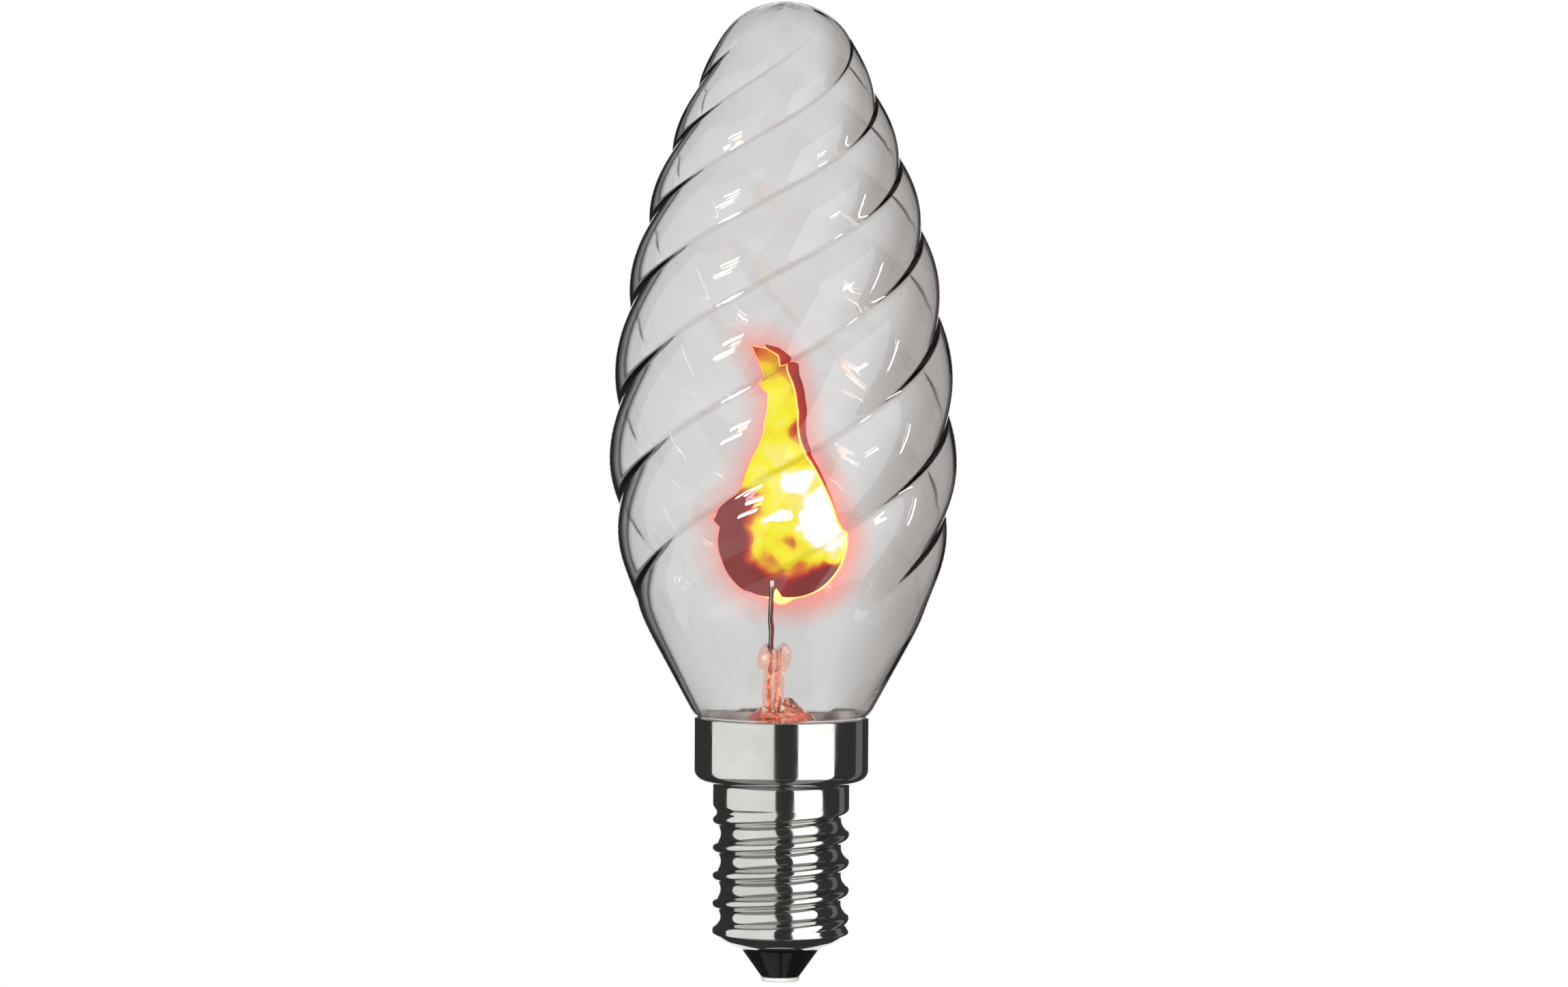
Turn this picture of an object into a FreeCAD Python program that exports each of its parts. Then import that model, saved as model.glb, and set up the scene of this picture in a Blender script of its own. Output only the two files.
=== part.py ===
import FreeCAD, Part
import math
import os
import re
import Sketcher

# Flicker flame candle lamp: twisted clear glass, two flame plates on a glass
# stem and a small screw cap. The origin is the centre of the contact's bottom
# face, +Z runs up to the crown, and -Y is the side that faces the viewer.
# Lengths are in millimetres and angles in degrees.

document = FreeCAD.newDocument("CandleLamp")
sheet = document.addObject("Spreadsheet::Sheet", "Sizes")

SIZES = {
    # Screw cap: rolled thread, collar and foot of the drawn shell
    "screw_radius": 6.9,
    "thread_depth": 0.8,
    "thread_pitch": 2.822,
    "thread_crest_height": 14.87,
    "thread_top": 17.9,
    "thread_bottom": 4.9,
    "thread_runout": 1.4,
    "thread_rows": 5,
    "shell_columns": 22,
    "shell_wall": 0.3,
    "collar_radius": 8.8,
    "collar_bottom": 20.2,
    "collar_top": 26.7,
    "collar_corner": 1.2,
    "foot_brow_radius": 6.3,
    "foot_brow_height": 4.4,
    "foot_knee_radius": 5.1,
    "foot_knee_height": 3.75,
    "shell_mouth": 4.0,
    "shell_foot": 3.25,
    # Insulator, contact and its solder
    "contact_radius": 1.95,
    "contact_thickness": 0.47,
    "contact_edge": 0.14,
    "eyelet_bore": 0.8,
    "eyelet_wall": 0.25,
    "eyelet_length": 1.5,
    "solder_height": 1.2,
    "insulator_bore_length": 1.7,
    "insulator_top": 5.5,
    "insulator_bowl": 3.6,
    # Glass envelope: outline, wall and twisted lobes
    "overall_height": 98.6,
    "belly_radius": 17.5,
    "belly_height": 52.5,
    "lower_arc": 38.6,
    "cone_angle": 28.8,
    "upper_arc": 88.0,
    "crown_flat": 0.6,
    "glass_wall": 0.7,
    "glass_foot": 27.0,
    "shoulder_height": 0.3,
    "neck_radius": 8.05,
    "neck_wall": 0.9,
    "neck_bottom": 24.0,
    "lobe_count": 6,
    "flute_depth": 1.2,
    "flute_lead": 60.2,
    "flute_datum": 57.55,
    "flute_quickening": 0.077,
    "quickening_height": 65.0,
    "flute_top": 98.0,
    "flute_bottom": 36.0,
    "flute_fade": 8.0,
    # Glass stem: flare, stalk, press head, vent and exhaust tube
    "press_offset": -0.8,
    "flare_rim": 0.8,
    "flare_waist": 3.2,
    "flare_waist_height": 26.6,
    "flare_wall": 0.8,
    "flare_clearance": 0.06,
    "flare_top": 28.6,
    "hollow_radius": 2.3,
    "stem_roof": 26.4,
    "stalk_width": 2.2,
    "press_depth": 6.4,
    "head_bottom": 31.4,
    "head_width": 3.5,
    "head_top": 34.2,
    "head_dip": 0.6,
    "vent_radius": 0.35,
    "tube_radius": 0.85,
    "tube_wall": 0.35,
    "tube_tip": 14.9,
    # Flame plates and the wires that carry them
    "flame_width": 13.2,
    "flame_height": 25.6,
    "flame_rise": 4.5,
    "plate_thickness": 0.3,
    "plate_gap": 1.6,
    "back_lean": 3.0,
    "lead_radius": 0.25,
    "lead_offset": -1.2,
    "lead_seal_depth": 1.0,
    "front_weld_rise": 1.7,
    "front_weld_offset": -0.95,
    "back_weld_rise": 2.5,
    "back_weld_offset": -0.8,
    "seal_bottom": 25.6,
    "shell_lead_bend": 1.6,
    "solder_radius": 0.8,
    "solder_length": 1.2,
    # Series resistor, its caps, leads and sleeve
    "resistor_radius": 0.9,
    "resistor_length": 5.4,
    "resistor_bottom": 7.6,
    "end_cap_wall": 0.15,
    "end_cap_length": 1.1,
    "resistor_lead_length": 2.6,
    "sleeve_wall": 0.12,
    "sleeve_length": 8.0,
    "contact_lead_end": 0.5,
    "contact_lead_bottom": 2.9,
    "contact_lead_top": 6.2,
}

# Outline of a flame plate seen from the front, as shares of its width and its
# height, clockwise from the foot of the notch at the bottom. A third entry is
# the middle of an arc that leads to the next point.
FLAME = [
    (-0.04, 0.035),
    (-0.095, 0.0, (-0.37, 0.07)),
    (-0.476, 0.277),
    (-0.521, 0.301),
    (-0.411, 0.379),
    (-0.352, 0.405, (-0.29, 0.49)),
    (-0.242, 0.551, (-0.15, 0.66)),
    (-0.114, 0.801),
    (-0.163, 0.822),
    (-0.141, 0.868),
    (-0.19, 0.93),
    (-0.248, 0.995),
    (-0.143, 0.984),
    (-0.05, 0.955),
    (-0.045, 0.918),
    (0.03, 0.91),
    (0.033, 0.875, (0.09, 0.79)),
    (0.1, 0.715, (0.125, 0.612)),
    (0.214, 0.52, (0.325, 0.41)),
    (0.408, 0.297),
    (0.478, 0.25, (0.39, 0.08)),
    (0.005, 0.0),
]

# Height at which the flame plates stand, and the middle of the shell's plain
# neck, where its wire is soldered
FLAME_BASE = "( head_top + flame_rise )"
SHELL_SOLDER = "( ( thread_top + collar_bottom ) / 2 )"

BODIES = []


def fill_sheet():
    """Write every driving dimension to the sheet as a number with an alias."""
    for row, (alias, number) in enumerate(SIZES.items(), start=1):
        sheet.set("A%d" % row, alias)
        sheet.set("B%d" % row, str(number))
        sheet.setAlias("B%d" % row, alias)
    document.recompute()


def size(alias):
    """Number held by one cell of the sheet."""
    return float(sheet.get(alias))


def cell(expression):
    """Turn plain aliases in an expression into references to the sheet."""
    return re.sub(r"\w+", lambda word: (
        "Sizes." + word.group() if word.group() in SIZES else word.group()), expression)


def value(expression):
    """Number that an expression on the sheet gives now."""
    return float(sheet.evalExpression(cell(expression)))


def new_body(name):
    """PartDesign body whose label becomes the name of its file."""
    body = document.addObject("PartDesign::Body", name)
    body.Label = name
    return body


def new_sketch(body, name, role, away="0", turn="0"):
    """Sketch on one origin plane of its body, lifted by away along the plane's
    normal and turned about the plane's own upright axis."""
    plane = [item for item in body.Origin.OriginFeatures if item.Role == role][0]
    sketch = body.newObject("Sketcher::SketchObject", name)
    sketch.AttachmentSupport = [(plane, "")]
    sketch.MapMode = "FlatFace"
    if turn != "0":
        upright = FreeCAD.Rotation(FreeCAD.Vector(0, 1, 0), value(turn))
        sketch.AttachmentOffset = FreeCAD.Placement(FreeCAD.Vector(0, 0, 0), upright)
        sketch.setExpression(".AttachmentOffset.Rotation.Angle", cell(turn))
    if away != "0":
        sketch.setExpression(".AttachmentOffset.Base.z", cell(away))
    return sketch


def pin_point(sketch, index, end, spot, label):
    """Hold one sketch point at the pair of expressions in spot."""
    for kind, expression, axis in (("X", spot[0], -2), ("Y", spot[1], -1)):
        if expression == "0":
            sketch.addConstraint(Sketcher.Constraint("PointOnObject", index, end, axis))
        else:
            rule = Sketcher.Constraint("Distance" + kind, -1, 1, index, end, value(expression))
            number = sketch.addConstraint(rule)
            sketch.renameConstraint(number, label + kind)
            sketch.setExpression("Constraints." + label + kind, cell(expression))


def draw_edge(sketch, start, end, middle):
    """Line from start to end, or the arc through middle. It returns which of
    the edge's own ends, 1 or 2, lies at start."""
    if middle is None:
        sketch.addGeometry(Part.LineSegment(start, end), False)
        return 1
    curve = Part.Arc(start, middle, end).toShape().Curve
    leftwards = (middle - start).cross(end - middle).z > 0
    first, last = (start, end) if leftwards else (end, start)
    centre = curve.Center
    angles = [math.atan2(spot.y - centre.y, spot.x - centre.x) for spot in (first, last)]
    circle = Part.Circle(centre, FreeCAD.Vector(0, 0, 1), curve.Radius)
    sketch.addGeometry(Part.ArcOfCircle(circle, angles[0], angles[1]), False)
    return 1 if leftwards else 2


def draw_outline(sketch, outline, closed=True):
    """Join the outline's points by lines, or by an arc through the middle
    point that a third entry gives, and hold every point by its expressions."""
    corners = [FreeCAD.Vector(value(item[0]), value(item[1]), 0) for item in outline]
    middles = [item[2] if len(item) > 2 else None for item in outline]
    edges = len(outline) if closed else len(outline) - 1
    starts = []
    for index in range(edges):
        middle = middles[index]
        if middle:
            middle = FreeCAD.Vector(value(middle[0]), value(middle[1]), 0)
        end = corners[(index + 1) % len(corners)]
        starts.append(draw_edge(sketch, corners[index], end, middle))
    for index in range(edges if closed else edges - 1):
        after = (index + 1) % edges
        joint = (index, 3 - starts[index], after, starts[after])
        sketch.addConstraint(Sketcher.Constraint("Coincident", *joint))
    for index in range(edges):
        pin_point(sketch, index, starts[index], outline[index], "p%d" % index)
    if not closed:
        pin_point(sketch, edges - 1, 3 - starts[-1], outline[-1], "end")
    for index in range(edges):
        middle = middles[index]
        if middle:
            spot = FreeCAD.Vector(value(middle[0]), value(middle[1]), 0)
            mark = sketch.addGeometry(Part.Point(spot), True)
            pin_point(sketch, mark, 1, middle, "m%d" % index)
            sketch.addConstraint(Sketcher.Constraint("PointOnObject", mark, 1, index))


def draw_circle(sketch, radius, x, y, label):
    """Circle of the given radius round the given point."""
    centre = FreeCAD.Vector(value(x), value(y), 0)
    circle = Part.Circle(centre, FreeCAD.Vector(0, 0, 1), value(radius))
    index = sketch.addGeometry(circle, False)
    pin_point(sketch, index, 3, (x, y), label)
    number = sketch.addConstraint(Sketcher.Constraint("Radius", index, value(radius)))
    sketch.renameConstraint(number, label + "Radius")
    sketch.setExpression("Constraints." + label + "Radius", cell(radius))


def rounding(x, z, radius, first, last, flats):
    """Points of a rounding about the centre (x, z) from the angle first to the
    angle last, one more than the number of short flats that stand for it."""
    angles = [first + (last - first) * step / flats for step in range(flats + 1)]
    return [("%s + ( %s ) * cos( %.1f )" % (x, radius, angle),
             "%s + ( %s ) * sin( %.1f )" % (z, radius, angle)) for angle in angles]


def turned(name, outline, part=True):
    """Body turned about Z from an outline in the XZ plane."""
    body = new_body(name)
    sketch = new_sketch(body, name + "_outline", "XZ_Plane")
    draw_outline(sketch, outline)
    turn = body.newObject("PartDesign::Revolution", name + "_turn")
    turn.Profile = sketch
    turn.ReferenceAxis = (sketch, ["V_Axis"])
    turn.Angle = 360
    body.Tip = turn
    if part:
        BODIES.append(body)
    return body


def rod(name, radius, bottom, top, x="0", y="0", bore=None):
    """Upright rod, or tube when a bore is given, from bottom to top."""
    body = new_body(name)
    pad = upright_pad(body, name, radius, bottom, top, x, y, bore)
    body.Tip = pad
    BODIES.append(body)
    return body


def upright_pad(body, name, radius, bottom, top, x, y, bore=None):
    """Round or ring-shaped pad of a body, from bottom to top."""
    sketch = new_sketch(body, name + "_section", "XY_Plane", away=bottom)
    draw_circle(sketch, radius, x, y, "outer")
    if bore:
        draw_circle(sketch, bore, x, y, "bore")
    pad = body.newObject("PartDesign::Pad", name + "_length")
    pad.Profile = sketch
    pad.setExpression("Length", cell("( %s ) - ( %s )" % (top, bottom)))
    return pad


def wire(name, radius, path, role, section_at, away="0", turn="0"):
    """Round wire along an open path that is drawn in one plane and starts
    upright, with its section drawn level at section_at: x, y and height."""
    body = new_body(name)
    route = new_sketch(body, name + "_path", role, away, turn)
    draw_outline(route, path, closed=False)
    section = new_sketch(body, name + "_section", "XY_Plane", away=section_at[2])
    draw_circle(section, radius, section_at[0], section_at[1], "wire")
    document.recompute()
    pipe = body.newObject("PartDesign::AdditivePipe", name + "_pipe")
    pipe.Profile = section
    pipe.Spine = route
    pipe.Transition = "Right corner"
    body.Tip = pipe
    BODIES.append(body)
    return body


def ring_points(columns, height, reach, turn=0.0):
    """Points round the axis at one height. The point at angle a lies
    reach(a, height) from the axis, at the angle a + turn."""
    ring = []
    for column in range(columns):
        angle = 360.0 * column / columns
        bearing = math.radians(angle + turn)
        away = reach(angle, height)
        spot = (away * math.cos(bearing), away * math.sin(bearing), height)
        ring.append(FreeCAD.Vector(*spot))
    return ring


def woven_solid(rings, loop=False):
    """Solid whose skin joins each ring of points to the next by triangles,
    two to a cell along its shorter diagonal. A ring of one point is a pole,
    and loop joins the last ring to the first."""
    points = [spot for ring in rings for spot in ring]
    starts = []
    total = 0
    for ring in rings:
        starts.append((total, len(ring)))
        total += len(ring)
    following = starts[1:] + (starts[:1] if loop else [])
    facets = []
    for (low, low_count), (high, high_count) in zip(starts, following):
        count = max(low_count, high_count)
        for here in range(count):
            after = (here + 1) % count
            if low_count == 1:
                facets.append((low, high + after, high + here))
            elif high_count == 1:
                facets.append((low + here, low + after, high))
            else:
                rising = (points[low + here] - points[high + after]).Length
                falling = (points[low + after] - points[high + here]).Length
                if falling < rising:
                    facets.append((low + here, low + after, high + here))
                    facets.append((low + after, high + after, high + here))
                else:
                    facets.append((low + here, low + after, high + after))
                    facets.append((low + here, high + after, high + here))
    skin = Part.Shape()
    skin.makeShapeFromMesh((points, facets), 1e-4)
    solid = Part.makeSolid(skin)
    if solid.Volume < 0:
        solid.reverse()
    return solid


def ease(share):
    """Rise from 0 to 1 as share goes from 0 to 1, level at both ends."""
    share = min(1.0, max(0.0, share))
    return share * share * (3 - 2 * share)


def result(name, shape):
    """Feature for a form that sketches can't hold, with its own label."""
    feature = document.addObject("Part::Feature", name)
    feature.Label = name
    feature.Shape = shape
    feature.Placement = FreeCAD.Placement()
    BODIES.append(feature)
    return feature


class GlassOutline:
    """Outline of the envelope as tangent pieces: a cone, a lower arc to the
    belly, a long upper arc and a round crown, all moved inwards by inset."""

    def __init__(self, inset):
        self.inset = inset
        self.belly = size("belly_radius")
        self.middle = size("belly_height")
        self.low = size("lower_arc")
        self.high = size("upper_arc")
        self.slope = math.radians(size("cone_angle"))
        top = size("overall_height")
        # The crown's circle is centred on the axis, reaches the top and
        # touches the upper arc from inside, which fixes its centre.
        across = self.high - self.belly
        spare = self.high - top
        self.centre = (across ** 2 + self.middle ** 2 - spare ** 2) / (2 * (self.middle + spare))
        self.crown = top - self.centre
        self.lean = math.atan2(self.centre - self.middle, across)
        self.crown_start = self.centre + (self.crown - inset) * math.sin(self.lean)
        self.cone_top = self.middle - (self.low - inset) * math.sin(self.slope)

    def radius(self, height):
        """Distance of the outline from the axis at one height."""
        if height > self.crown_start:
            rise = height - self.centre
            return math.sqrt((self.crown - self.inset) ** 2 - rise ** 2)
        if height < self.cone_top:
            drop = self.cone_top - height
            return self.radius(self.cone_top) - drop * math.tan(self.slope)
        rise = height - self.middle
        arc = self.high if rise > 0 else self.low
        return self.belly - arc + math.sqrt((arc - self.inset) ** 2 - rise ** 2)

    def heights(self, foot):
        """Heights of the sections, from the foot to the flat at the crown,
        at even turns of the outline within each piece."""
        levels = [foot + (self.cone_top - foot) * step / 2 for step in range(2)]
        low = self.low - self.inset
        high = self.high - self.inset
        crown = self.crown - self.inset
        flat = math.acos(size("crown_flat") / crown)
        steps = 5
        levels += [self.middle - low * math.sin(self.slope * (1 - step / steps))
                   for step in range(steps)]
        steps = 14
        levels += [self.middle + high * math.sin(self.lean * step / steps)
                   for step in range(steps)]
        steps = 5
        levels += [self.centre + crown * math.sin(self.lean + (flat - self.lean) * step / steps)
                   for step in range(steps + 1)]
        return levels


def flute_turn(height):
    """Angle of the flutes: an even twist that quickens towards the crown."""
    past = max(0.0, height - size("quickening_height"))
    even = 360.0 / size("flute_lead") * (height - size("flute_datum"))
    return even + size("flute_quickening") * past ** 2


def flute_share(height):
    """Depth of the flutes at one height, as a share of their full depth."""
    fade = size("flute_fade")
    below = ease((height - size("flute_bottom")) / fade)
    above = ease((size("flute_top") - height) / fade)
    return below * above


def lobe_reach(outline):
    """Distance of the lobed glass from the axis. Seen from above, each lobe
    is an arc of a circle from valley to valley, so the valleys are creases."""
    lobe = 360.0 / int(size("lobe_count"))
    half = math.radians(lobe / 2)
    full = size("flute_depth") / size("belly_radius")

    def reach(angle, height):
        crest = outline.radius(height)
        valley = crest * (1 - full * flute_share(height))
        rise = crest - valley * math.cos(half)
        bow = ((valley * math.sin(half)) ** 2 + rise ** 2) / (2 * rise)
        off = math.radians(angle % lobe) - half
        centre = crest - bow
        return centre * math.cos(off) + math.sqrt(bow ** 2 - (centre * math.sin(off)) ** 2)

    return reach


def build_envelope():
    """Clear twisted envelope with a straight neck that enters the collar."""
    foot = size("glass_foot")
    shoulder = foot - size("shoulder_height")
    bottom = size("neck_bottom")
    neck = size("neck_radius")
    wall = size("glass_wall")
    bore = neck - size("neck_wall")
    top = size("overall_height")
    columns = 4 * int(size("lobe_count"))
    turn = flute_turn(foot)

    def skin(inset, first):
        outline = GlassOutline(inset)
        reach = lobe_reach(outline)
        return [ring_points(columns, height, reach, flute_turn(height))
                for height in outline.heights(first)]

    def neck_ring(radius, height):
        return ring_points(columns, height, lambda angle, level: radius, turn)

    rings = [[FreeCAD.Vector(0, 0, top)]]
    rings += reversed(skin(0.0, foot))
    rings += [neck_ring(neck, shoulder), neck_ring(neck, bottom)]
    rings += [neck_ring(bore, bottom), neck_ring(bore, shoulder)]
    rings += skin(wall, foot + 2 * wall)
    rings += [[FreeCAD.Vector(0, 0, top - wall)]]
    result("glass_envelope", woven_solid(rings))


def thread_reach(inset):
    """Distance of the rolled thread from the axis: a row of equal rounds, out
    and in by turns, each tangent to the next, that climbs a pitch in a turn."""
    crest = size("screw_radius") - inset
    depth = size("thread_depth")
    pitch = size("thread_pitch")
    runout = size("thread_runout")
    knuckle = (pitch ** 2 / 4 + depth ** 2) / (4 * depth)

    def reach(angle, height):
        share = ((height - size("thread_crest_height")) / pitch - angle / 360.0) % 1.0
        away = min(share, 1 - share) * pitch
        if away < pitch / 4:
            drop = knuckle - math.sqrt(knuckle ** 2 - away ** 2)
        else:
            drop = depth - knuckle + math.sqrt(knuckle ** 2 - (pitch / 2 - away) ** 2)
        above = ease((size("thread_top") - height) / runout)
        below = ease((height - size("thread_bottom")) / runout)
        return crest - drop * above * below

    return reach


def build_screw_shell():
    """Drawn shell: a turned collar and neck, joined to the rolled thread and
    the foot, which are one wall of level rings of points."""
    bend_height = "collar_bottom + collar_corner"
    bend_centre = "collar_radius - collar_corner"
    inner_collar = "collar_radius - shell_wall"
    inner_screw = "screw_radius - shell_wall"
    collar = turned("collar_blank", [
        ("screw_radius", "thread_top"),
        ("screw_radius", "collar_bottom"),
        *rounding(bend_centre, bend_height, "collar_corner", -90, 0, 2),
        ("collar_radius", "collar_top"),
        (inner_collar, "collar_top"),
        (inner_collar, bend_height),
        (bend_centre, "collar_bottom + shell_wall"),
        (inner_screw, "collar_bottom + shell_wall"),
        (inner_screw, "thread_top"),
    ], part=False)
    columns = int(size("shell_columns"))

    def plain(outline):
        return [ring_points(columns, value(along), lambda angle, level, away=value(across): away)
                for across, along in outline]

    outer_foot = [
        ("shell_mouth", "shell_foot"),
        ("foot_knee_radius", "foot_knee_height"),
        ("foot_brow_radius", "foot_brow_height"),
    ]
    inner_foot = [(across + " - shell_wall * sin( 45 )", along + " + shell_wall * sin( 45 )")
                  for across, along in outer_foot[:0:-1]]
    inner_foot += [("shell_mouth", "shell_foot + shell_wall")]
    span = size("thread_top") - size("thread_bottom")
    rows = int(size("thread_rows")) * round(span / size("thread_pitch"))
    levels = [size("thread_bottom") + span * row / rows for row in range(rows + 1)]
    outer = thread_reach(0.0)
    inner = thread_reach(size("shell_wall"))
    rings = plain(outer_foot)
    rings += [ring_points(columns, level, outer) for level in levels]
    rings += [ring_points(columns, level, inner) for level in reversed(levels)]
    rings += plain(inner_foot)
    document.recompute()
    result("screw_shell", woven_solid(rings, loop=True).fuse(collar.Shape).Solids[0])


def build_cap_inside():
    """Black insulator, eyelet contact, its solder and the cement ring. What
    lies against the many-sided shell is as wide as the circle it leaves."""
    seat = "eyelet_bore + eyelet_wall"
    inside = " * cos( 180 / shell_columns )"
    mouth = "shell_mouth" + inside
    knee = "( foot_knee_radius - shell_wall * sin( 45 ) )" + inside
    cement = "collar_radius - shell_wall"
    turned("base_insulator", [
        (seat, "contact_thickness"),
        ("contact_radius", "contact_thickness"),
        (mouth, "shell_foot"),
        (mouth, "shell_foot + shell_wall"),
        (knee, "foot_knee_height + shell_wall * sin( 45 )"),
        (knee, "insulator_top"),
        ("insulator_bowl", "insulator_top"),
        (seat, "contact_thickness + insulator_bore_length"),
    ])
    edge = "contact_edge"
    edge_centre = "contact_radius - contact_edge"
    upper_edge = "contact_thickness - contact_edge"
    turned("contact_plate", [
        ("eyelet_bore", "0"),
        (edge_centre, "0"),
        ("contact_radius", edge),
        ("contact_radius", upper_edge),
        (edge_centre, "contact_thickness"),
        (seat, "contact_thickness"),
        (seat, "contact_thickness + eyelet_length"),
        ("eyelet_bore", "contact_thickness + eyelet_length"),
    ])
    turned("contact_solder", [
        ("0", "0"),
        ("eyelet_bore", "0"),
        ("eyelet_bore", "solder_height"),
        ("lead_radius", "solder_height + lead_radius"),
        ("lead_radius", "contact_lead_end"),
        ("0", "contact_lead_end"),
    ])
    turned("cap_cement", [
        ("neck_radius", "neck_bottom - flare_rim"),
        (cement, "neck_bottom - flare_rim"),
        (cement, "collar_top - 2 * shell_wall"),
        ("neck_radius", "collar_top - 2 * shell_wall"),
    ])


def build_stem():
    """Stem glass: a hollow flare that closes the neck, with a flat stalk and
    a pressed head that grip the wires, and the sealed exhaust tube below."""
    neck_bore = "neck_radius - neck_wall - flare_clearance"
    rim = "neck_bottom - flare_rim"
    body = turned("stem_glass", [
        ("neck_radius", rim),
        ("neck_radius", "neck_bottom"),
        (neck_bore, "neck_bottom"),
        ("flare_waist", "flare_waist_height"),
        ("stalk_width / 2", "flare_top"),
        ("0", "flare_top"),
        ("0", "stem_roof"),
        ("hollow_radius", "stem_roof"),
        (neck_bore, rim),
    ])
    left = "press_offset - "
    right = "press_offset + "
    middle = "( head_bottom + head_top ) / 2"
    outline = new_sketch(body, "press_outline", "XZ_Plane")
    draw_outline(outline, [
        (left + "stalk_width / 2", "stem_roof + flare_wall"),
        (left + "stalk_width / 2", "head_bottom", (left + "head_width / 2", middle)),
        (left + "head_width / 4", "head_top"),
        ("press_offset", "head_top - head_dip"),
        (right + "head_width / 4", "head_top", (right + "head_width / 2", middle)),
        (right + "stalk_width / 2", "head_bottom"),
        (right + "stalk_width / 2", "stem_roof + flare_wall"),
    ])
    press = body.newObject("PartDesign::Pad", "press_pad")
    press.Profile = outline
    press.SideType = "Symmetric"
    press.setExpression("Length", cell("press_depth"))
    body.Tip = press
    document.recompute()
    bores = new_sketch(body, "press_bores", "XY_Plane", away="stem_roof")
    spread = "plate_gap / 2 + plate_thickness + lead_radius"
    draw_circle(bores, "lead_radius", "lead_offset", "-( " + spread + " )", "front")
    draw_circle(bores, "lead_radius", "lead_offset", spread, "back")
    draw_circle(bores, "vent_radius", "press_offset / 2", "0", "vent")
    drill = body.newObject("PartDesign::Pocket", "press_drill")
    drill.Profile = bores
    drill.Reversed = True
    drill.setExpression("Length", cell("head_top - stem_roof + head_dip"))
    body.Tip = drill
    tip = "tube_tip + tube_radius"
    bore = "tube_radius - tube_wall"
    turned("exhaust_tube", [
        ("0", "tube_tip + tube_radius * ( 1 - sin( 45 ) )"),
        *rounding("0", tip, "tube_radius", -45, 0, 1),
        ("tube_radius", "stem_roof"),
        (bore, "stem_roof"),
        (bore, tip),
        ("0", "tube_tip + tube_wall"),
    ])


def build_flames():
    """Two flame-shaped plates, one behind the other, the back one leaning."""
    for name, away in (
            ("flame_plate_front", "plate_gap / 2"),
            ("flame_plate_back", "-( plate_gap / 2 + plate_thickness )")):
        body = new_body(name)
        outline = []
        for item in FLAME:
            shares = [item[:2]] + list(item[2:])
            spots = [("flame_width * ( %s )" % across, FLAME_BASE + " + flame_height * %s" % along)
                     for across, along in shares]
            outline.append(spots[0] + tuple(spots[1:]))
        sketch = new_sketch(body, name + "_outline", "XZ_Plane", away=away)
        draw_outline(sketch, outline)
        pad = body.newObject("PartDesign::Pad", name + "_sheet")
        pad.Profile = sketch
        pad.setExpression("Length", cell("plate_thickness"))
        body.Tip = pad
        BODIES.append(body)
    lean = FreeCAD.Rotation(FreeCAD.Vector(0, 1, 0), size("back_lean"))
    body.Placement = FreeCAD.Placement(FreeCAD.Vector(0, 0, 0), lean)
    body.setExpression(".Placement.Rotation.Angle", cell("back_lean"))
    body.setExpression(".Placement.Base.x", cell("-" + FLAME_BASE + " * sin( back_lean )"))
    rise = cell(FLAME_BASE + " * ( 1 - cos( back_lean ) )")
    body.setExpression(".Placement.Base.z", rise)


def build_leads():
    """Wires from the plates through the press to the cap, with the resistor
    in the line to the contact."""
    spread = "( plate_gap / 2 + plate_thickness + lead_radius )"
    sealed = "head_top - lead_seal_depth"
    straight = "head_top"
    for side, sign, plane_sign in (("front", "-", ""), ("back", "", "-")):
        wire("inner_lead_" + side, "lead_radius", [
            ("lead_offset", sealed),
            ("lead_offset", straight),
            (side + "_weld_offset", FLAME_BASE + " + " + side + "_weld_rise"),
        ], "XZ_Plane", ("lead_offset", sign + spread, sealed), away=plane_sign + spread)
        rod("seal_wire_" + side, "lead_radius", "seal_bottom", sealed,
            "lead_offset", sign + spread)
    corner = SHELL_SOLDER + " + shell_lead_bend"
    corner_centre = spread + " + shell_lead_bend"
    wall_end = "screw_radius - shell_wall - solder_length"
    wire("outer_lead_shell", "lead_radius", [
        (spread, "seal_bottom"),
        *rounding(corner_centre, corner, "shell_lead_bend", 180, 270, 3),
        (wall_end, SHELL_SOLDER),
    ], "YZ_Plane", ("lead_offset", spread, "seal_bottom"), away="lead_offset")
    place = ("lead_offset", "-" + spread)
    cap_bottom = "resistor_bottom - end_cap_wall"
    top = "resistor_bottom + resistor_length"
    cap_top = top + " + end_cap_wall"
    lead_top = cap_top + " + resistor_lead_length"
    rod("outer_lead_contact", "lead_radius", lead_top, "seal_bottom", *place)
    rod("resistor_lead_top", "lead_radius", cap_top, lead_top, *place)
    rod("resistor_body", "resistor_radius", "resistor_bottom", top, *place)
    for end, face, inside, rim in (
            ("bottom", cap_bottom, "resistor_bottom", "resistor_bottom + end_cap_length"),
            ("top", top, cap_top, top + " - end_cap_length")):
        name = "resistor_end_cap_" + end
        body = new_body(name)
        shell = "resistor_radius + end_cap_wall"
        upright_pad(body, name + "_face", shell, face, inside, *place)
        low, high = (inside, rim) if end == "bottom" else (rim, face)
        body.Tip = upright_pad(body, name + "_skirt", shell, low, high, *place,
                               bore="resistor_radius")
        BODIES.append(body)
    rod("insulating_sleeve", "lead_radius + sleeve_wall", cap_top, cap_top + " + sleeve_length",
        *place, bore="lead_radius")
    away = "sqrt( lead_offset ^ 2 + " + spread + " ^ 2 )"
    wire("resistor_lead_bottom", "lead_radius", [
        (away, cap_bottom),
        (away, "contact_lead_top"),
        ("0", "contact_lead_bottom"),
        ("0", "contact_lead_end"),
    ], "XZ_Plane", place + (cap_bottom,), turn="atan2( -" + spread + "; lead_offset )")
    place_solder(spread)


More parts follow.
